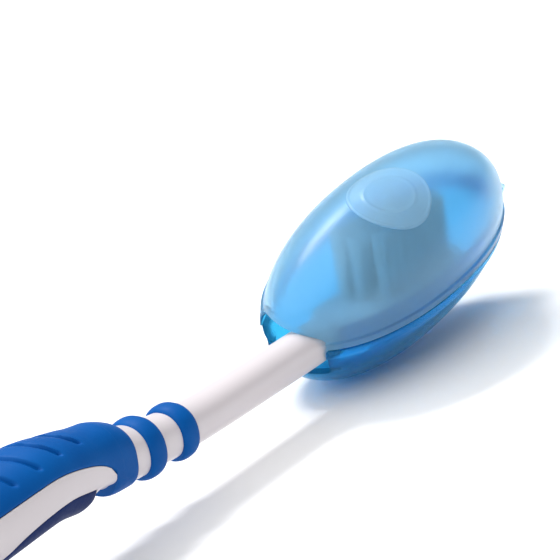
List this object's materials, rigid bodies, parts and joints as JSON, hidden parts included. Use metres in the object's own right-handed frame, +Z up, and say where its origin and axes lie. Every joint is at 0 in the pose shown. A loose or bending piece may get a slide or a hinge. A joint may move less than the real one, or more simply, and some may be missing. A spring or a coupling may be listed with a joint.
{
  "type": "toothbrush in travel cover",
  "caption": "Manual toothbrush with a soft-grip handle, its bristled head inside a hinged, see-through, egg-shaped travel cover.",
  "frame": {"origin": "bottom centre of the whole object's box at rest, on the surface that the tail and the cover's belly lie on", "axes": "+X along the brush from its tail to its head, +Z up, the way the bristles point, +Y across the brush"},
  "size_m": [0.2042, 0.0263, 0.0311],
  "materials": {
    "white_plastic": "glossy moulded polypropylene",
    "soft_blue": "satin thermoplastic elastomer",
    "nylon": "nylon filament",
    "clear_blue": "translucent, polished outside"
  },
  "bodies": {
    "brush": {"handle_core": "white_plastic", "grip_top": "soft_blue", "grip_underside": "soft_blue", "grip_ring_front": "soft_blue", "grip_ring_rear": "soft_blue", "tuft_01_1": "nylon", "tuft_01_2": "nylon", "tuft_02_1": "nylon", "tuft_02_2": "nylon", "tuft_02_3": "nylon", "tuft_02_4": "nylon", "tuft_03_1": "nylon", "tuft_03_2": "nylon", "tuft_03_3": "nylon", "tuft_03_4": "nylon", "tuft_04_1": "nylon", "tuft_04_2": "nylon", "tuft_04_3": "nylon", "tuft_04_4": "nylon", "tuft_05_1": "nylon", "tuft_05_2": "nylon", "tuft_05_3": "nylon", "tuft_05_4": "nylon", "tuft_06_1": "nylon", "tuft_06_2": "nylon", "tuft_06_3": "nylon", "tuft_06_4": "nylon", "tuft_07_1": "nylon", "tuft_07_2": "nylon", "tuft_07_3": "nylon", "tuft_07_4": "nylon", "tuft_08_1": "nylon", "tuft_08_2": "nylon", "tuft_08_3": "nylon", "tuft_08_4": "nylon", "tuft_09_1": "nylon", "tuft_09_2": "nylon", "tuft_09_3": "nylon", "tuft_09_4": "nylon", "tuft_10_1": "nylon", "tuft_10_2": "nylon"},
    "tray": {"cover_tray": "clear_blue"},
    "dome": {"cover_dome": "clear_blue"}
  },
  "joints": [
    {"name": "cover_slide", "type": "slide", "parent": "brush", "child": "tray", "axis": [1, 0, 0], "range_m": [-0.002, 0.0003]},
    {"name": "cover_hinge", "type": "hinge", "parent": "tray", "child": "dome", "pos_m": [0.10091, -0.0008, 0.01802], "axis": [-0.0041, 0.9404, 0.34], "range_deg": [0, 150]}
  ]
}
